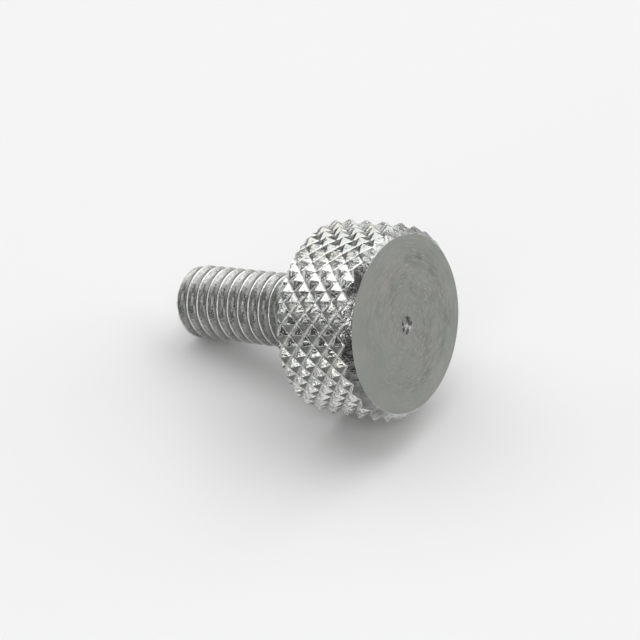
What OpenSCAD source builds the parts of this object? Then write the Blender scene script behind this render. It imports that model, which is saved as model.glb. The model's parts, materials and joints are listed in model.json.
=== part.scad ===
// Knurled thumb screw, turned from one bar: a round head with a diamond knurl
// round its rim, and a plain-ended threaded shank. It lies as it comes to rest,
// on two points of the knurl beside its bearing face and on the end of its thread.

/* [Head] */
// Diameter over the points of the knurl
head_d = 10; // [8:0.1:14]
// Height of the head from end face to bearing face
head_h = 4.4; // [3:0.1:8]
// Chamfer between the rim and the end face, measured along the screw
face_chamfer = 0.5; // [0.35:0.05:0.8]
// Chamfer between the rim and the bearing face, measured along the screw
bearing_chamfer = 0.15; // [0.05:0.05:0.2]

/* [Knurl] */
// Diamonds counted round the rim
knurl_count = 28; // [20:2:40]
// Length of one diamond along the screw
knurl_pitch = 0.97; // [0.7:0.01:1.5]
// Depth of the grooves between the diamonds
knurl_depth = 0.27; // [0.15:0.01:0.34]
// Lean of the lines of diamonds, in degrees from the screw's axis
knurl_lean = 6.5; // [-10:0.5:10]
// Distance of the last ring of points from the bearing face
knurl_edge = 0.24; // [0.22:0.01:0.34]

/* [Thread] */
// Nominal diameter of the thread
thread_d = 4; // [3:0.5:6]
// Amount by which the plated crests lie inside the nominal diameter
crest_allowance = 0.1; // [0:0.01:0.16]
// Length of the threaded shank from bearing face to tip
thread_len = 9.6; // [6:0.1:20]
// Chamfer at the tip, measured along the screw
tip_chamfer = 0.4; // [0.2:0.05:0.8]

/* [Finish] */
// Facets round a full circle where curves are drawn as facets
curve_facets = 96; // [48:8:160]

/* [Hidden] */
$fn = curve_facets;
crest_r = head_d / 2;
root_r = crest_r - knurl_depth;
face_r = crest_r - face_chamfer;
shank_r = (thread_d - crest_allowance) / 2;
tip_r = shank_r - tip_chamfer;
total_len = head_h + thread_len;
// The blank is drawn clear of the knurl's points, so that only its two cones and two faces cut them.
blank_r = crest_r + knurl_depth;
// Half a diamond round the rim, and half a diamond along the screw.
half_turn = 180 / knurl_count;
half_row = knurl_pitch / 2;
// Turn of the lines of diamonds for each millimetre along the screw.
lean_turn = tan(knurl_lean) / crest_r * 180 / PI;
// The last ring of points, which the screw rests on, and the rows drawn from there to past both faces.
rest_z = head_h - knurl_edge;
rows_below = ceil((rest_z + knurl_depth) / half_row);
rows_above = ceil((knurl_edge + knurl_depth) / half_row);
// The screw leans down to its tip by the angle that puts both rests on the floor.
rest_drop = crest_r * cos(half_turn);
lie_angle = atan2(rest_drop - shank_r, total_len - tip_chamfer - rest_z);
// Height of the end face's centre above the floor, and the middle of the screw's length on the floor.
face_up = rest_z * sin(lie_angle) + rest_drop * cos(lie_angle);
face_reach = face_r * sin(lie_angle);
tip_reach = total_len * cos(lie_angle) + tip_r * sin(lie_angle);
face_x = (tip_reach - face_reach) / 2;

// The turned blank of the head, from its end face at zero up to its bearing face.
module head_blank() {
    bearing_r = crest_r - bearing_chamfer;
    rotate_extrude()
        polygon([
            [0, 0],
            [face_r, 0],
            [blank_r, blank_r - face_r],
            [blank_r, head_h - (blank_r - bearing_r)],
            [bearing_r, head_h],
            [0, head_h]
        ]);
}

// One point of the knurl's net: crests and roots take turns along each ring and from ring to ring.
function net_point(row, col) =
    let (
        r = (row + col) % 2 == 0 ? root_r : crest_r,
        z = rest_z + row * half_row,
        a = 180 + col * half_turn - lean_turn * row * half_row
    )
    [r * cos(a), r * sin(a), z];

// The knurled bar: four-sided points whose grooves cross round the rim, longer than the head at both ends.
module knurled_bar() {
    cols = 2 * knurl_count;
    rows = [for (row = [-rows_below : rows_above]) row];
    last = len(rows) - 1;
    ring_points = [for (row = rows, col = [0 : cols - 1]) net_point(row, col)];
    ends = [[0, 0, rest_z + rows[0] * half_row], [0, 0, rest_z + rows[last] * half_row]];
    first_end = len(ring_points);
    sides = [
        for (k = [0 : last - 1], i = [0 : cols - 1])
            let (
                j = (i + 1) % cols,
                a = k * cols + i,
                b = k * cols + j,
                c = (k + 1) * cols + j,
                d = (k + 1) * cols + i,
                root_first = (abs(rows[k]) + i) % 2 == 0
            )
            each root_first ? [[a, c, b], [a, d, c]] : [[a, d, b], [b, d, c]]
    ];
    caps = [
        for (i = [0 : cols - 1])
            let (j = (i + 1) % cols)
            each [[first_end, i, j], [first_end + 1, last * cols + j, last * cols + i]]
    ];
    polyhedron(points = concat(ring_points, ends), faces = concat(sides, caps), convexity = 6);
}

// The shank at the size of its crests, rooted in the head, with its tip chamfered.
module shank() {
    rotate_extrude()
        polygon([
            [0, head_h / 2],
            [shank_r, head_h / 2],
            [shank_r, total_len - tip_chamfer],
            [tip_r, total_len],
            [0, total_len]
        ]);
}

// The whole screw, laid down with its tip towards -X and its end face up towards +X.
module thumb_screw() {
    color([0.62, 0.62, 0.6])
        translate([face_x, 0, face_up])
            rotate([0, -90 - lie_angle, 0])
                union() {
                    intersection() {
                        head_blank();
                        knurled_bar();
                    }
                    shank();
                }
}

thumb_screw();
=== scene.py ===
import json
import math

import bmesh
import bpy
from mathutils import Matrix, Vector


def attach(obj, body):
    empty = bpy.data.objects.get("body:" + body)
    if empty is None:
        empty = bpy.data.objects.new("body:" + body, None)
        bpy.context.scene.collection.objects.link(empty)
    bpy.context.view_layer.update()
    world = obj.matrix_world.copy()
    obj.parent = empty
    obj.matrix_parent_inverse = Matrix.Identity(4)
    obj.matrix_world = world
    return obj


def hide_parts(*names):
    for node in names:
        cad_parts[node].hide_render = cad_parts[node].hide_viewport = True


bl_info = {
    "name": "Knurled thumb screw",
    "version": (1, 0, 0),
    "blender": (4, 5, 0),
    "location": "View3D > Sidebar > Thumb Screw",
    "description": "Models a plated thumb screw with a diamond-knurled head and a rolled thread",
    "category": "Mesh",
}

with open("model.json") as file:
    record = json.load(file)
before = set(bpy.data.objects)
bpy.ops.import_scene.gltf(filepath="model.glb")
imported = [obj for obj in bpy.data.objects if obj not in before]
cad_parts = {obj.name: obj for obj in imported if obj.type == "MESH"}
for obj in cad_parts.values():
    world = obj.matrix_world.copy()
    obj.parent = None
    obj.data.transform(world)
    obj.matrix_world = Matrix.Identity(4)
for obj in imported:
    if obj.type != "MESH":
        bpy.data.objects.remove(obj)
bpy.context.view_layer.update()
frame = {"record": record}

MM = 0.001

# The screw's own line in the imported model: from the middle of the bearing face towards the tip.
BEARING = next(m for m in frame["record"]["mounts"] if m["name"] == "bearing_face")
BEARING_CENTRE = Vector(BEARING["pos_m"])
TO_TIP = Vector(BEARING["axis"]).normalized()
# How the screw lies: its tilt, its turn from upright, and the way down that is square to its axis.
LIE_ANGLE = math.asin(-TO_TIP.z)
LYING = (0, -math.pi / 2 - LIE_ANGLE, 0)
SQUARE_DOWN = (math.sin(LIE_ANGLE), 0, -math.cos(LIE_ANGLE))

# Points closer than this are one point.
TOUCH = 1e-7
# A face that was cut flat strays from its plane by less than this.
CUT_SLACK = 1e-6
# The facets of a chamfer stray from its cone by less than this.
CHAMFER_SLACK = 3e-6

# An edge of the knurl is a groove if it folds inwards by more than this angle.
GROOVE_FOLD = -0.7
# It is a ridge if it folds outwards by an angle between these two.
RIDGE_FOLD_LOW, RIDGE_FOLD_HIGH = 0.5, 1.3

# The nib is the top of a flattened ball, whose radius is this many times that of the centre mark.
NIB_BALL = 1.6

# Edges that turn less than this look smooth.
SMOOTH_ANGLE = math.radians(30)

# The camera, fitted to the screw's outline in the photograph: its direction and distance from the end face.
CAMERA_AZIMUTH, CAMERA_ELEVATION = math.radians(34.57), math.radians(37.87)
CAMERA_DISTANCE = 103.7 * MM
# The size of a metre at that distance, and where the face's middle is seen from the picture's middle.
PIXELS_PER_METRE = 20.125 / MM
FACE_PIXELS_RIGHT, FACE_PIXELS_DOWN = 86.85, 4.26
PICTURE_PIXELS = 640.0
SENSOR_WIDTH = 36.0
CLIP_START, CLIP_END = 0.005, 10.0

SOFTBOX_DISTANCE = 1.5
# Each softbox: its name, degrees from straight behind the screw towards the right of the picture, degrees
# above the floor, width and height in metres, and brightness.
SOFTBOXES = (
    ("overhead_softbox", -14, 63, 2.7, 1.8, 1.85),
    ("left_softbox", -85, 18, 1.0, 0.8, 1.2),
    ("right_softbox", 74, 34, 2.1, 1.4, 1.4),
    ("front_softbox", -174, 45, 1.25, 0.7, 1.7),
    ("low_softbox", -140, 10, 0.8, 0.5, 2.6),
)
FLOOR_SIZE = 6.0
ROOM_GREY = 0.1


class ThumbScrewSizes(bpy.types.PropertyGroup):
    """Sizes of the screw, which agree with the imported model."""

    head_diameter: bpy.props.FloatProperty(
        name="Head diameter", description="Diameter over the points of the knurl",
        default=10.0 * MM, unit="LENGTH", precision=5)
    head_height: bpy.props.FloatProperty(
        name="Head height", description="From the end face to the bearing face",
        default=4.4 * MM, unit="LENGTH", precision=5)
    face_chamfer: bpy.props.FloatProperty(
        name="Face chamfer", description="Chamfer between the rim and the end face",
        default=0.5 * MM, unit="LENGTH", precision=5)
    bearing_chamfer: bpy.props.FloatProperty(
        name="Bearing chamfer", description="Chamfer between the rim and the bearing face",
        default=0.15 * MM, unit="LENGTH", precision=5)
    edge_break: bpy.props.FloatProperty(
        name="Edge break", description="Rounding where the face chamfer meets the end face",
        default=0.01 * MM, unit="LENGTH", precision=6)
    centre_mark: bpy.props.FloatProperty(
        name="Centre mark", description="Radius of the torn nib at the middle of the end face",
        default=0.48 * MM, unit="LENGTH", precision=6)
    knurl_count: bpy.props.IntProperty(
        name="Knurl count", description="Diamonds counted round the rim", default=28, min=20, max=40, step=2)
    knurl_pitch: bpy.props.FloatProperty(
        name="Knurl pitch", description="Length of one diamond along the screw",
        default=0.97 * MM, unit="LENGTH", precision=5)
    knurl_depth: bpy.props.FloatProperty(
        name="Knurl depth", description="Depth of the grooves between the diamonds",
        default=0.27 * MM, unit="LENGTH", precision=5)
    knurl_lean: bpy.props.FloatProperty(
        name="Knurl lean", description="Angle of the lines of diamonds from the screw's axis",
        default=math.radians(6.5), subtype="ANGLE")
    knurl_edge: bpy.props.FloatProperty(
        name="Knurl edge", description="Distance of the last ring of points from the bearing face",
        default=0.24 * MM, unit="LENGTH", precision=5)
    groove_round: bpy.props.FloatProperty(
        name="Groove rounding", description="How far the rounding of a groove's bottom reaches up its sides",
        default=0.06 * MM, unit="LENGTH", precision=6)
    ridge_round: bpy.props.FloatProperty(
        name="Ridge rounding", description="How far the plating rounds off the ridges of the diamonds",
        default=0.018 * MM, unit="LENGTH", precision=6)
    knurl_play: bpy.props.FloatProperty(
        name="Knurl play", description="How far the diamonds stray from an even net",
        default=0.012 * MM, unit="LENGTH", precision=6)
    crest_diameter: bpy.props.FloatProperty(
        name="Crest diameter", description="Diameter over the crests of the thread",
        default=3.9 * MM, unit="LENGTH", precision=5)
    thread_pitch: bpy.props.FloatProperty(
        name="Thread pitch", description="Distance from one crest of the thread to the next",
        default=0.7 * MM, unit="LENGTH", precision=5)
    thread_depth: bpy.props.FloatProperty(
        name="Thread depth", description="Depth of the thread from crest to root",
        default=0.28 * MM, unit="LENGTH", precision=5)
    thread_length: bpy.props.FloatProperty(
        name="Thread length", description="From the bearing face to the tip",
        default=9.6 * MM, unit="LENGTH", precision=5)
    tip_chamfer: bpy.props.FloatProperty(
        name="Tip chamfer", description="Chamfer at the tip, measured along the screw",
        default=0.4 * MM, unit="LENGTH", precision=5)


class ThumbScrewFinish(bpy.types.PropertyGroup):
    """Colours of the plating and of the stage."""

    plating: bpy.props.FloatVectorProperty(
        name="Plating", description="Colour of the bright zinc on the knurl and the face chamfer",
        subtype="COLOR", default=(0.44, 0.445, 0.43), min=0.0, max=1.0)
    turned_face: bpy.props.FloatVectorProperty(
        name="Turned face", description="Colour of the satin end face, the bearing face and the tip",
        subtype="COLOR", default=(0.335, 0.34, 0.32), min=0.0, max=1.0)
    # The groove colour is a painted highlight along the knurl's groove bottoms.
    groove: bpy.props.FloatVectorProperty(
        name="Groove", description="Colour of the knurl's groove bottoms, which the knurling wheels burnish",
        subtype="COLOR", default=(0.8, 0.8, 0.79), min=0.0, max=1.0)
    thread_flank: bpy.props.FloatVectorProperty(
        name="Thread flank", description="Colour of the dull plating in the thread's grooves",
        subtype="COLOR", default=(0.42, 0.425, 0.41), min=0.0, max=1.0)
    # The crest colour is a painted highlight along the thread's crests.
    thread_crest: bpy.props.FloatVectorProperty(
        name="Thread crest", description="Colour of the thread's crests, which are rubbed bright",
        subtype="COLOR", default=(0.85, 0.855, 0.84), min=0.0, max=1.0)
    floor: bpy.props.FloatVectorProperty(
        name="Floor", description="Colour of the pale floor",
        subtype="COLOR", default=(0.78, 0.78, 0.78), min=0.0, max=1.0)


def end_face_centre(sizes):
    """The middle of the end face, where the screw lies."""
    return BEARING_CENTRE - sizes.head_height * TO_TIP


# Helpers for modelling.

def start_fresh():
    """Leaves nothing selected, so that the next operator acts only on what is made next."""
    bpy.ops.object.select_all(action="DESELECT")


def pick(kind, test):
    """In edit mode, selects only the vertices, edges or faces that pass the test."""
    bpy.ops.mesh.select_mode(type=kind)
    bpy.ops.mesh.select_all(action="DESELECT")
    net = bmesh.from_edit_mesh(bpy.context.object.data)
    items = {"VERT": net.verts, "EDGE": net.edges, "FACE": net.faces}[kind]
    chosen = [item for item in items if test(item)]
    if not chosen:
        raise RuntimeError("there is nothing here to select")
    for item in chosen:
        item.select_set(True)
    net.select_flush_mode()
    bmesh.update_edit_mesh(bpy.context.object.data)


def add_bar(name, radius, low, high, sides):
    """A plain round bar on the upright axis, as a start for turning."""
    start_fresh()
    bpy.ops.mesh.primitive_cylinder_add(
        vertices=sides, radius=radius, depth=high - low, location=(0, 0, (low + high) / 2))
    bar = bpy.context.object
    bar.name = name
    bpy.ops.object.transform_apply(location=True, rotation=True, scale=True)
    return bar


def break_ring(level, width, segments=1):
    """In edit mode, chamfers or rounds the ring of edges at that height."""
    pick("EDGE", lambda e: all(abs(v.co.z - level) < TOUCH for v in e.verts))
    bpy.ops.mesh.bevel(offset=width, segments=segments, affect="EDGES", clamp_overlap=False)


def apply_modifier(piece, kind, **settings):
    """Adds a modifier to the piece, sets it and applies it."""
    start_fresh()
    piece.select_set(True)
    bpy.context.view_layer.objects.active = piece
    bpy.ops.object.modifier_add(type=kind)
    modifier = piece.modifiers[-1]
    for setting, value in settings.items():
        setattr(modifier, setting, value)
    bpy.ops.object.modifier_apply(modifier=modifier.name)


def cut(piece, other, operation):
    """Combines the piece with another solid, which is used up."""
    apply_modifier(piece, "BOOLEAN", operation=operation, object=other, solver="EXACT")
    bpy.data.objects.remove(other)
    if not piece.data.polygons:
        raise RuntimeError("combining the solids left nothing")


# The head.

def knurled_bar(sizes):
    """A bar with a diamond knurl all along it: a net of crests and roots that take turns."""
    crest = sizes.head_diameter / 2
    root = crest - sizes.knurl_depth
    rest = sizes.head_height - sizes.knurl_edge
    half_row = sizes.knurl_pitch / 2
    half_turn = math.pi / sizes.knurl_count
    below = math.ceil((rest + sizes.knurl_depth) / half_row)
    above = math.ceil((sizes.knurl_edge + sizes.knurl_depth) / half_row)
    low, high = -below * half_row, above * half_row

    # The ring of points that the screw rests on is drawn at zero height, where the twist leaves it alone.
    bar = add_bar("knurl", crest, low, high, sides=2 * sizes.knurl_count)
    bpy.ops.object.mode_set(mode="EDIT")
    pick("EDGE", lambda e: abs(e.verts[0].co.z - e.verts[1].co.z) > half_row)
    bpy.ops.mesh.subdivide(number_cuts=below + above - 1)

    def is_root(v):
        row = round(v.co.z / half_row)
        column = round(math.atan2(v.co.y, v.co.x) / half_turn)
        return (row + column) % 2 == 0

    pick("VERT", is_root)
    bpy.ops.transform.resize(value=(root / crest, root / crest, 1), center_override=(0, 0, 0))
    # The shorter diagonal joins two roots, so each crest becomes a four-sided point.
    pick("FACE", lambda f: len(f.verts) == 4)
    bpy.ops.mesh.quads_convert_to_tris(quad_method="SHORTEST_DIAGONAL")
    pick("VERT", lambda v: low + TOUCH < v.co.z < high - TOUCH)
    bpy.ops.transform.vertex_random(offset=sizes.knurl_play, seed=5)

    # The knurling wheels leave rounded groove bottoms, and the points keep narrow ridges.
    pick("EDGE", lambda e: e.is_manifold and e.calc_face_angle_signed(0) < GROOVE_FOLD)
    bpy.ops.mesh.bevel(offset=sizes.groove_round, segments=3, affect="EDGES", clamp_overlap=True)
    pick("EDGE", lambda e: e.is_manifold and RIDGE_FOLD_LOW < e.calc_face_angle_signed(0) < RIDGE_FOLD_HIGH)
    bpy.ops.mesh.bevel(offset=sizes.ridge_round, segments=2, affect="EDGES", clamp_overlap=True)
    bpy.ops.object.mode_set(mode="OBJECT")
    apply_modifier(
        bar, "SIMPLE_DEFORM", deform_method="TWIST", deform_axis="Z",
        angle=-math.tan(sizes.knurl_lean) / crest * (high - low))
    bpy.ops.object.mode_set(mode="EDIT")
    bpy.ops.mesh.select_all(action="SELECT")
    bpy.ops.transform.translate(value=(0, 0, rest))
    bpy.ops.object.mode_set(mode="OBJECT")
    return bar


def turned_blank(sizes):
    """The head's turned blank: flat end face, two chamfers and the bearing face."""
    crest = sizes.head_diameter / 2
    radius = crest + sizes.knurl_depth
    face = crest - sizes.face_chamfer
    margin = 0.02 * MM
    blank = add_bar("blank", radius, 0, sizes.head_height, sides=160)
    bpy.ops.object.mode_set(mode="EDIT")
    break_ring(0, radius - face)
    break_ring(sizes.head_height, radius - crest + sizes.bearing_chamfer)
    break_ring(0, sizes.edge_break, segments=3)
    # Two inner rings keep the long edges of the end face away from its rounded edge and its middle.
    pick("FACE", lambda f: f.normal.z < -0.99 and len(f.verts) > 4)
    bpy.ops.mesh.inset(thickness=margin)
    bpy.ops.mesh.inset(thickness=face - sizes.edge_break - margin - NIB_BALL * sizes.centre_mark)
    bpy.ops.object.mode_set(mode="OBJECT")
    return blank


def torn_nib(sizes):
    """The small torn nib that the facing tool leaves at the middle of the end face."""
    tearing = 0.18 * sizes.centre_mark
    sinking = 0.37 * sizes.centre_mark
    flattening = (1, 0.9, 0.3)
    start_fresh()
    bpy.ops.mesh.primitive_ico_sphere_add(subdivisions=3, radius=NIB_BALL * sizes.centre_mark)
    nib = bpy.context.object
    nib.name = "nib"
    bpy.ops.object.mode_set(mode="EDIT")
    bpy.ops.mesh.select_all(action="SELECT")
    bpy.ops.transform.vertex_random(offset=tearing, seed=3)
    bpy.ops.transform.resize(value=flattening, center_override=(0, 0, 0))
    # Only its top breaks through the face, in an uneven patch.
    bpy.ops.transform.translate(value=(0, 0, sinking))
    bpy.ops.object.mode_set(mode="OBJECT")
    return nib


def knurled_head(sizes):
    """The knurled bar, cut to the turned blank, with the nib on its end face."""
    bar = knurled_bar(sizes)
    cut(bar, turned_blank(sizes), "INTERSECT")
    cut(bar, torn_nib(sizes), "UNION")
    return bar


# The shank.

def draw_line(name, points):
    """A line of edges through the points, drawn by extruding one corner on and on."""
    speck = 1e-6
    start_fresh()
    bpy.ops.mesh.primitive_plane_add(size=speck, location=points[0])
    line = bpy.context.object
    line.name = name
    bpy.ops.object.transform_apply(location=True, rotation=True, scale=True)
    bpy.ops.object.mode_set(mode="EDIT")
    bpy.ops.mesh.select_mode(type="VERT")
    bpy.ops.mesh.select_all(action="SELECT")
    bpy.ops.mesh.merge(type="CENTER")
    for here, there in zip(points, points[1:]):
        bpy.ops.mesh.extrude_vertices_move(TRANSFORM_OT_translate={"value": Vector(there) - Vector(here)})
    bpy.ops.object.mode_set(mode="OBJECT")
    return line


def thread_outline(sizes):
    """One pitch of the thread from root to root, as distances along the screw and from its axis."""
    pitch, depth = sizes.thread_pitch, sizes.thread_depth
    crest = sizes.crest_diameter / 2
    root = crest - depth
    # With flanks at 60 degrees, the depth leaves this much rounding for root and crest together.
    rounds = pitch * math.sqrt(3) / 2 - depth
    root_share = 0.85
    root_round, crest_round = root_share * rounds, (1 - root_share) * rounds
    # Half of one pitch, from the middle of the root to the middle of the crest.
    arc_steps = 4
    swing = [math.radians(60 * step / arc_steps) for step in range(arc_steps + 1)]
    half = [(root_round * math.sin(a), root + root_round * (1 - math.cos(a))) for a in swing]
    half += [
        (pitch / 2 - crest_round * math.sin(a), crest - crest_round * (1 - math.cos(a)))
        for a in reversed(swing)]
    return half + [(pitch - z, r) for z, r in reversed(half[:-1])]


def rolled_thread(sizes, low, turns):
    """A right-hand thread: its outline, wound along the screw and closed at both ends."""
    pitch = sizes.thread_pitch
    thread = draw_line("thread", [(r, 0, low + z) for z, r in thread_outline(sizes)])
    apply_modifier(
        thread, "SCREW", axis="Z", angle=2 * math.pi, screw_offset=pitch, iterations=turns,
        steps=64, render_steps=64, use_smooth_shade=False)
    high = low + turns * pitch
    slack = 0.001 * pitch
    bpy.ops.object.mode_set(mode="EDIT")
    bpy.ops.mesh.select_all(action="SELECT")
    bpy.ops.mesh.remove_doubles(threshold=TOUCH)
    for at_end in (lambda z: z < low + pitch + slack, lambda z: z > high - slack):
        pick("EDGE", lambda e: e.is_boundary and all(at_end(v.co.z) for v in e.verts))
        bpy.ops.mesh.edge_face_add()
        bpy.ops.mesh.poke()
    bpy.ops.mesh.select_all(action="SELECT")
    bpy.ops.mesh.normals_make_consistent(inside=False)
    bpy.ops.object.mode_set(mode="OBJECT")
    return thread


def threaded_shank(sizes):
    """The thread, cut to the length of the shank and chamfered at its tip."""
    start = sizes.head_height / 2
    tip = sizes.head_height + sizes.thread_length
    turns_before, turns_after = 2, 1
    turns = turns_before + math.ceil((tip - start) / sizes.thread_pitch) + turns_after
    thread = rolled_thread(sizes, start - turns_before * sizes.thread_pitch, turns)
    room = 0.25 * MM
    blank = add_bar("shank_blank", sizes.crest_diameter / 2 + room, start, tip, sides=96)
    bpy.ops.object.mode_set(mode="EDIT")
    break_ring(tip, room + sizes.tip_chamfer)
    bpy.ops.object.mode_set(mode="OBJECT")
    cut(thread, blank, "INTERSECT")
    return thread


# Helpers for finishes, where lengths are in millimetres.

# Most of a noise lies between these.
NOISE_SPAN = (0.3, 0.7)


def new_finish(name):
    """An empty metal finish, with its tree of nodes and its shader."""
    finish = bpy.data.materials.new(name)
    finish.use_nodes = True
    tree = finish.node_tree
    shader = tree.nodes["Principled BSDF"]
    shader.inputs["Metallic"].default_value = 1.0
    return finish, tree, shader


def node(tree, kind, inputs, **settings):
    """Adds a node with its settings, and fills its inputs with values or with other nodes' outputs."""
    made = tree.nodes.new(kind)
    for setting, value in settings.items():
        setattr(made, setting, value)
    for socket, value in inputs.items():
        if isinstance(value, bpy.types.NodeSocket):
            tree.links.new(value, made.inputs[socket])
        else:
            made.inputs[socket].default_value = value
    return made


def reckon(tree, operation, *numbers):
    """The result of a Math node."""
    return node(tree, "ShaderNodeMath", dict(enumerate(numbers)), operation=operation).outputs["Value"]


def product(tree, first, *others):
    """All the numbers multiplied."""
    for other in others:
        first = reckon(tree, "MULTIPLY", first, other)
    return first


def vectors(tree, operation, *given):
    """The outputs of a Vector Math node."""
    return node(tree, "ShaderNodeVectorMath", dict(enumerate(given)), operation=operation).outputs


def step_up(tree, value, over, gives=(0.0, 1.0), way="SMOOTHSTEP"):
    """A number that goes from the first given to the second, while the value goes over its span."""
    inputs = {
        "Value": value, "From Min": over[0], "From Max": over[1],
        "To Min": gives[0], "To Max": gives[1]}
    return node(tree, "ShaderNodeMapRange", inputs, interpolation_type=way).outputs["Result"]


def noise(tree, place, scale, detail, roughness):
    """A number that wanders over the surface."""
    inputs = {"Vector": place, "Scale": scale, "Detail": detail, "Roughness": roughness}
    return node(tree, "ShaderNodeTexNoise", inputs).outputs["Fac"]


def uneven(tree, place, scale, gives=(0.0, 1.0), detail=3.0, roughness=0.6):
    """A number that wanders over the surface between the two that it gives."""
    return step_up(tree, noise(tree, place, scale, detail, roughness), NOISE_SPAN, gives, way="LINEAR")


def shade(colour, *factors):
    """The colour times one factor, or times one each for red, green and blue."""
    if len(factors) == 1:
        factors *= 3
    return tuple(factor * part for factor, part in zip(factors, colour))


def blend(tree, share, first, second, way="MIX"):
    """A mix of two colours, which are colours or another node's output."""
    first, second = (c if isinstance(c, bpy.types.NodeSocket) else (*c, 1) for c in (first, second))
    # These inputs of a Mix node take the share and the two colours, and its third output gives the mix.
    mixed = node(tree, "ShaderNodeMix", {0: share, 6: first, 7: second}, data_type="RGBA", blend_type=way)
    return mixed.outputs[2]


def relief(tree, height, depth, over=None):
    """A fine relief of that depth, alone or over another one."""
    inputs = {"Strength": 1.0, "Distance": depth * MM, "Height": height}
    if over is not None:
        inputs["Normal"] = over
    return node(tree, "ShaderNodeBump", inputs).outputs["Normal"]


def on_screw(tree, sizes):
    """Places on the upright screw, from the end face at zero towards the tip."""
    place = node(tree, "ShaderNodeTexCoord", {}).outputs["Object"]
    inputs = {"Vector": place, "Location": end_face_centre(sizes), "Rotation": LYING, "Scale": (MM, MM, MM)}
    return node(tree, "ShaderNodeMapping", inputs, vector_type="TEXTURE").outputs["Vector"]


def off_axis(tree, place):
    """The way from the screw's axis to the place."""
    return vectors(tree, "MULTIPLY", place, (1, 1, 0))["Vector"]


def from_axis(tree, place):
    """Distance from the screw's axis."""
    return vectors(tree, "LENGTH", off_axis(tree, place))["Value"]


def coordinates(tree, place):
    """The place's X, which points up as the screw lies, its Y across the screw and its Z along it."""
    return node(tree, "ShaderNodeSeparateXYZ", {"Vector": place}).outputs


# Finishes.

def knurl_plating(tree, sizes, colours, place, upward, radius):
    """The colour of the knurl: plating that varies at random, with light and shade painted round the rim as
    the screw lies.
    """
    plating = colours.plating
    colour = blend(
        tree, uneven(tree, place, scale=0.8),
        shade(plating, 0.93, 0.97, 0.99), shade(plating, 1.07, 1.04, 0.97))
    # Painted light: it is made brighter towards the underside, and pale on the shoulder below the top.
    painted_underside_light = step_up(tree, upward, over=(-2.4, 0.4), gives=(0.9, 0.0))
    colour = blend(tree, painted_underside_light, colour, shade(plating, 1.9))
    painted_shoulder_light = product(
        tree, step_up(tree, upward, over=(3.1, 3.9), gives=(0.0, 0.8)),
        step_up(tree, upward, over=(4.3, 4.6), gives=(1.0, 0.0)))
    colour = blend(tree, painted_shoulder_light, colour, shade(plating, 1.7))

    # Dark specks get fewer and fainter towards the top.
    specks = noise(tree, place, scale=6.0, detail=2.0, roughness=0.6)
    specks = reckon(tree, "ADD", specks, step_up(tree, upward, over=(2.4, 3.4), gives=(0.03, 0.0)))
    specked = product(
        tree, step_up(tree, specks, over=(0.54, 0.66)),
        step_up(tree, upward, over=(3.4, 4.0), gives=(0.5, 0.3)))
    colour = blend(tree, specked, colour, shade(plating, 0.12))

    # Painted shade: flanks of the diamonds that face further down than the rim does are darkened, except
    # near the top.
    flank_cosine = 0.78
    normal = node(tree, "ShaderNodeNewGeometry", {}).outputs["True Normal"]
    facing = reckon(
        tree, "MULTIPLY_ADD", reckon(tree, "DIVIDE", upward, radius), flank_cosine,
        vectors(tree, "DOT_PRODUCT", normal, SQUARE_DOWN)["Value"])
    dull_and_shaded = product(
        tree, step_up(tree, facing, over=(0.05, 0.2), gives=(0.0, 0.7)),
        step_up(tree, upward, over=(3.6, 4.1), gives=(1.0, 0.0)))
    colour = blend(tree, dull_and_shaded, colour, shade(plating, 0.15))

    # Painted highlight: the groove bottoms are made pale, more so higher up.
    groove = (sizes.head_diameter / 2 - sizes.knurl_depth) / MM
    groove_highlight = product(
        tree, step_up(tree, radius, over=(groove + 0.02, groove + 0.07), gives=(1.0, 0.0)),
        step_up(tree, upward, over=(2.0, 3.2), gives=(0.22, 0.4)))
    return blend(tree, groove_highlight, colour, colours.groove)


def thread_plating(tree, sizes, colours, place, radius):
    """The thread's colour: dull and cloudy on its flanks, with painted shade in its roots and a painted
    highlight on its crests.
    """
    crest = sizes.crest_diameter / 2 / MM
    root = crest - sizes.thread_depth / MM
    flank = colours.thread_flank
    colour = blend(tree, uneven(tree, place, scale=5.0), shade(flank, 0.75), shade(flank, 1.3))
    # Painted shade darkens the roots.
    painted_root_shade = step_up(tree, radius, over=(root + 0.01, root + 0.15), gives=(0.7, 0.0))
    colour = blend(tree, painted_root_shade, colour, shade(flank, 0.25))
    # Painted highlight along the crests.
    painted_lit = product(
        tree, step_up(tree, radius, over=(crest - 0.06, crest - 0.02)),
        uneven(tree, place, scale=3.0, gives=(0.35, 1.0)))
    return blend(tree, painted_lit, colour, colours.thread_crest)


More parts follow.
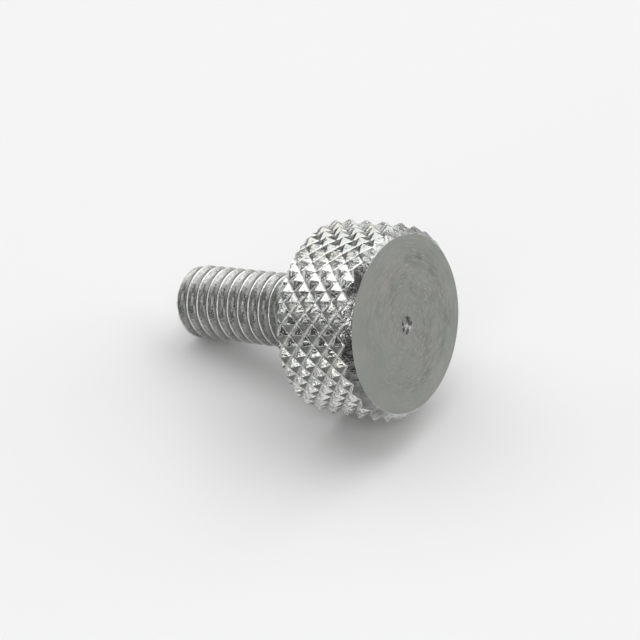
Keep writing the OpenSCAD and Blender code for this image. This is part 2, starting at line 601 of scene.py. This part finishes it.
def plated_finish(sizes, colours):
    """Bright zinc on the knurl and the thread, finely uneven."""
    finish, tree, shader = new_finish("bright_zinc")
    place = on_screw(tree, sizes)
    upward = coordinates(tree, place)["X"]
    radius = from_axis(tree, place)
    crest = sizes.crest_diameter / 2 / MM
    on_head = step_up(tree, radius, over=(crest + 0.05, crest + 0.15))

    colour = blend(
        tree, on_head, thread_plating(tree, sizes, colours, place, radius),
        knurl_plating(tree, sizes, colours, place, upward, radius))
    tree.links.new(colour, shader.inputs["Base Color"])

    # The thread's grooves and the top of the knurl are less glossy.
    roughness = uneven(tree, place, scale=6.0, gives=(0.09, 0.2))
    in_grooves = step_up(tree, radius, over=(crest - 0.1, crest), gives=(0.05, 0.0))
    at_top = step_up(tree, upward, over=(3.6, 4.2), gives=(0.0, 0.08))
    roughness = reckon(tree, "ADD", reckon(tree, "ADD", roughness, in_grooves), at_top)
    tree.links.new(roughness, shader.inputs["Roughness"])

    # The knurl is wavy, most of all on its underside, and a finer grain lies over everything.
    waves = product(
        tree, uneven(tree, place, scale=3.5, detail=2.0), on_head,
        step_up(tree, upward, over=(-1.5, 0.5), gives=(2.2, 1.0)))
    grain = product(
        tree, uneven(tree, place, scale=9.0),
        step_up(tree, radius, over=(crest - 0.05, crest + 0.15), gives=(1.0, 0.4)))
    bumps = relief(tree, grain, depth=0.01, over=relief(tree, waves, depth=0.02))
    tree.links.new(bumps, shader.inputs["Normal"])
    return finish


def torn_finish(sizes, colours):
    """The face chamfer, cut through the knurl and left torn, and the nib, both with dark pits."""
    finish, tree, shader = new_finish("torn_chamfer")
    place = on_screw(tree, sizes)
    plating = colours.plating
    pits = uneven(tree, place, scale=2.6, roughness=0.55)
    chamfer = blend(tree, pits, shade(plating, 0.55), shade(plating, 1.25))

    # Round the rim, light and shade are painted on the chamfer by turns. Each stop is a share of a turn,
    # from the left by way of the bottom, and the tone there.
    rim_light_tones = (
        (0.06, 0.5), (0.11, 0.85), (0.165, 1.6), (0.23, 1.7), (0.3, 0.6), (0.5, 0.95), (0.6, 0.8),
        (0.76, 1.0), (0.81, 0.75), (0.835, 0.3), (0.862, 0.35), (0.882, 1.7), (0.93, 1.7), (0.948, 0.35))
    left_light_tone = 0.4
    at = coordinates(tree, place)
    turn = reckon(tree, "ARCTAN2", at["X"], at["Y"])
    turn = step_up(tree, turn, over=(-math.pi, math.pi), way="LINEAR")
    turn = reckon(tree, "ADD", turn, uneven(tree, place, scale=1.5, gives=(-0.015, 0.015)))
    painted_rim_light = node(tree, "ShaderNodeValToRGB", {"Fac": turn})
    stops = painted_rim_light.color_ramp.elements
    for stop in stops:
        stop.color = (left_light_tone, left_light_tone, left_light_tone, 1)
    for share, tone in rim_light_tones:
        stops.new(share).color = (tone, tone, tone, 1)
    chamfer = blend(tree, 1.0, chamfer, painted_rim_light.outputs["Color"], way="MULTIPLY")

    nib = blend(tree, step_up(tree, pits, over=(0.35, 1.0)), shade(plating, 0.2), shade(plating, 1.5))
    beyond_nib = step_up(tree, from_axis(tree, place), over=(0.8, 1.6))
    tree.links.new(blend(tree, beyond_nib, nib, chamfer), shader.inputs["Base Color"])
    tree.links.new(uneven(tree, place, scale=6.0, gives=(0.14, 0.28)), shader.inputs["Roughness"])
    tree.links.new(relief(tree, pits, depth=0.05), shader.inputs["Normal"])
    return finish


def turning_marks(tree, place, radius):
    """Places for the noise of the tool's rings: slow to change round the axis and fast across the rings."""
    round_axis, across_rings = 4.0, 6.0
    outward = vectors(tree, "NORMALIZE", off_axis(tree, place))["Vector"]
    slow = vectors(tree, "MULTIPLY", outward, (round_axis, round_axis, round_axis))["Vector"]
    fast = node(tree, "ShaderNodeCombineXYZ", {"Z": product(tree, radius, across_rings)}).outputs["Vector"]
    return vectors(tree, "ADD", slow, fast)["Vector"]


def faced_finish(sizes, colours):
    """The satin end face, bearing face and tip: broken rings left by the turning tool, and soft clouds."""
    finish, tree, shader = new_finish("turned_end_face")
    place = on_screw(tree, sizes)
    radius = from_axis(tree, place)
    across = coordinates(tree, place)["Y"]
    satin = colours.turned_face

    # Under the marks lie soft clouds, with a little painted shade on the left.
    clouds = uneven(tree, place, scale=0.5, detail=2.0)
    colour = blend(tree, clouds, shade(satin, 0.9, 0.98, 0.94), shade(satin, 1.13, 1.08, 1.07))
    left = step_up(tree, across, over=(-4.0, 1.0), gives=(0.14, 0.0))
    colour = blend(tree, left, colour, shade(satin, 0.4))

    # The marks come and go, and are stronger on the right and away from the edge.
    strength = product(
        tree, uneven(tree, place, scale=0.7, gives=(0.3, 1.0), detail=2.0),
        step_up(tree, across, over=(-4.5, 4.5), gives=(0.3, 1.3), way="LINEAR"),
        step_up(tree, radius, over=(3.2, 4.0), gives=(1.15, 0.5)))
    marks = turning_marks(tree, place, radius)
    dark = product(tree, uneven(tree, marks, scale=1.0, detail=5.0, roughness=0.75), strength)
    colour = blend(tree, dark, colour, shade(satin, 0.5))
    light = uneven(tree, marks, scale=1.7, detail=4.0, roughness=0.7)
    light = product(tree, step_up(tree, light, over=(0.65, 1.0), gives=(0.0, 0.7)), strength)
    colour = blend(tree, light, colour, shade(satin, 1.6))

    tree.links.new(colour, shader.inputs["Base Color"])
    tree.links.new(uneven(tree, place, scale=2.0, gives=(0.3, 0.4)), shader.inputs["Roughness"])
    tree.links.new(relief(tree, dark, depth=0.01), shader.inputs["Normal"])
    return finish


def put_on_finishes(screw, sizes, colours):
    """Gives every face of the upright screw its finish."""
    face = sizes.head_diameter / 2 - sizes.face_chamfer
    flats = (sizes.head_height, sizes.head_height + sizes.thread_length)

    def is_turned(f):
        """Whether a face is on the end face, its rounded edge, the bearing face or the flat of the tip."""
        on_end_face = all(
            -TOUCH < v.co.z < sizes.edge_break and v.co.xy.length < face + TOUCH for v in f.verts)
        return on_end_face or all(any(abs(v.co.z - flat) < CUT_SLACK for flat in flats) for v in f.verts)

    def is_torn(f):
        """Whether a face is on the face chamfer or on the nib, which stands out of the end face."""
        on_chamfer = all(
            v.co.z > TOUCH and abs(v.co.xy.length - face - v.co.z) < CHAMFER_SLACK for v in f.verts)
        return on_chamfer or any(v.co.z < -CUT_SLACK for v in f.verts)

    screw.data.materials.clear()
    for finish in (plated_finish, faced_finish, torn_finish):
        screw.data.materials.append(finish(sizes, colours))
    bpy.ops.object.mode_set(mode="EDIT")
    for slot, test in enumerate((is_turned, is_torn), start=1):
        pick("FACE", test)
        screw.active_material_index = slot
        bpy.ops.object.material_slot_assign()
    bpy.ops.object.mode_set(mode="OBJECT")


# The stage.

def add_floor(colours):
    """The pale floor, which takes the screw's shadow."""
    start_fresh()
    bpy.ops.mesh.primitive_plane_add(size=FLOOR_SIZE, location=(0, 0, 0))
    floor = bpy.context.object
    floor.name = "floor"
    paint = bpy.data.materials.new("pale_floor")
    paint.use_nodes = True
    shader = paint.node_tree.nodes["Principled BSDF"]
    shader.inputs["Base Color"].default_value = (*colours.floor, 1)
    shader.inputs["Roughness"].default_value = 0.9
    shader.inputs["Specular IOR Level"].default_value = 0.1
    floor.data.materials.append(paint)


def view_directions():
    """The picture's right, its up and the way back to the camera."""
    flat_part = math.cos(CAMERA_ELEVATION)
    back = Vector((
        math.sin(CAMERA_AZIMUTH) * flat_part,
        -math.cos(CAMERA_AZIMUTH) * flat_part,
        math.sin(CAMERA_ELEVATION)))
    right = Vector((math.cos(CAMERA_AZIMUTH), math.sin(CAMERA_AZIMUTH), 0))
    return right, back.cross(right), back


def add_camera(scene, right, up, back):
    """The camera, which sees the screw as the photograph does."""
    lens = bpy.data.cameras.new("camera")
    lens.sensor_width = SENSOR_WIDTH
    lens.lens = PIXELS_PER_METRE * CAMERA_DISTANCE * SENSOR_WIDTH / PICTURE_PIXELS
    lens.clip_start, lens.clip_end = CLIP_START, CLIP_END
    camera = bpy.data.objects.new("camera", lens)
    scene.collection.objects.link(camera)
    spot = end_face_centre(scene.thumb_screw_sizes) + back * CAMERA_DISTANCE
    spot += up * (FACE_PIXELS_DOWN / PIXELS_PER_METRE) - right * (FACE_PIXELS_RIGHT / PIXELS_PER_METRE)
    camera.matrix_world = Matrix.Translation(spot) @ Matrix((right, up, back)).transposed().to_4x4()
    scene.camera = camera


def add_softboxes(scene, right, back):
    """The lamps, all turned to the screw and out of the camera's sight."""
    behind = -Vector((back.x, back.y, 0)).normalized()
    for name, turn, rise, width, height, level in SOFTBOXES:
        turn, rise = math.radians(turn), math.radians(rise)
        outward = math.cos(turn) * behind + math.sin(turn) * right
        place = SOFTBOX_DISTANCE * (math.cos(rise) * outward + Vector((0, 0, math.sin(rise))))
        lamp = bpy.data.lights.new(name, "AREA")
        lamp.shape = "RECTANGLE"
        lamp.size, lamp.size_y = width, height
        lamp.energy = level * math.pi * width * height
        holder = bpy.data.objects.new(name, lamp)
        scene.collection.objects.link(holder)
        holder.location = place
        holder.rotation_euler = place.to_track_quat("Z", "Y").to_euler()
        holder.visible_camera = False


def add_room(scene):
    """The dim grey room round the stage."""
    room = bpy.data.worlds.new("studio")
    room.use_nodes = True
    room.node_tree.nodes["Background"].inputs["Color"].default_value = (ROOM_GREY, ROOM_GREY, ROOM_GREY, 1)
    scene.world = room


class THUMBSCREW_OT_make_screw(bpy.types.Operator):
    """Models the screw upright from its sizes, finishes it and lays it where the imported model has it"""

    bl_idname = "thumb_screw.make_screw"
    bl_label = "Make Thumb Screw"

    def execute(self, context):
        sizes = context.scene.thumb_screw_sizes
        screw = knurled_head(sizes)
        cut(screw, threaded_shank(sizes), "UNION")
        screw.name = screw.data.name = "knurled_thumb_screw"
        bpy.ops.object.mode_set(mode="EDIT")
        bpy.ops.mesh.select_all(action="SELECT")
        bpy.ops.mesh.remove_doubles(threshold=TOUCH)
        bpy.ops.mesh.normals_make_consistent(inside=False)
        bpy.ops.object.mode_set(mode="OBJECT")
        put_on_finishes(screw, sizes, context.scene.thumb_screw_finish)
        bpy.ops.object.shade_smooth_by_angle(angle=SMOOTH_ANGLE)

        start_fresh()
        screw.select_set(True)
        screw.rotation_euler = LYING
        screw.location = end_face_centre(sizes)
        bpy.ops.object.transform_apply(location=True, rotation=True, scale=True)
        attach(screw, "root")
        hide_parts("thumb_screw")
        return {"FINISHED"}


class THUMBSCREW_OT_make_stage(bpy.types.Operator):
    """Makes the floor, the camera, the lamps and the room"""

    bl_idname = "thumb_screw.make_stage"
    bl_label = "Make Stage"

    def execute(self, context):
        right, up, back = view_directions()
        add_floor(context.scene.thumb_screw_finish)
        add_camera(context.scene, right, up, back)
        add_softboxes(context.scene, right, back)
        add_room(context.scene)
        context.scene.view_settings.view_transform = "Standard"
        return {"FINISHED"}


class THUMBSCREW_PT_panel(bpy.types.Panel):
    """Lists the steps, the sizes and the colours in the sidebar"""

    bl_idname = "THUMBSCREW_PT_panel"
    bl_label = "Thumb Screw"
    bl_space_type = "VIEW_3D"
    bl_region_type = "UI"
    bl_category = "Thumb Screw"

    def draw(self, context):
        column = self.layout.column()
        column.operator(THUMBSCREW_OT_make_screw.bl_idname)
        column.operator(THUMBSCREW_OT_make_stage.bl_idname)
        for group in (context.scene.thumb_screw_sizes, context.scene.thumb_screw_finish):
            for name in group.bl_rna.properties.keys():
                if name not in {"rna_type", "name"}:
                    column.prop(group, name)


CLASSES = (
    ThumbScrewSizes,
    ThumbScrewFinish,
    THUMBSCREW_OT_make_screw,
    THUMBSCREW_OT_make_stage,
    THUMBSCREW_PT_panel,
)


def register():
    for cls in CLASSES:
        bpy.utils.register_class(cls)
    bpy.types.Scene.thumb_screw_sizes = bpy.props.PointerProperty(type=ThumbScrewSizes)
    bpy.types.Scene.thumb_screw_finish = bpy.props.PointerProperty(type=ThumbScrewFinish)


def unregister():
    del bpy.types.Scene.thumb_screw_finish
    del bpy.types.Scene.thumb_screw_sizes
    for cls in reversed(CLASSES):
        bpy.utils.unregister_class(cls)


def main():
    register()
    bpy.ops.thumb_screw.make_screw()
    bpy.ops.thumb_screw.make_stage()


if __name__ == "__main__":
    main()
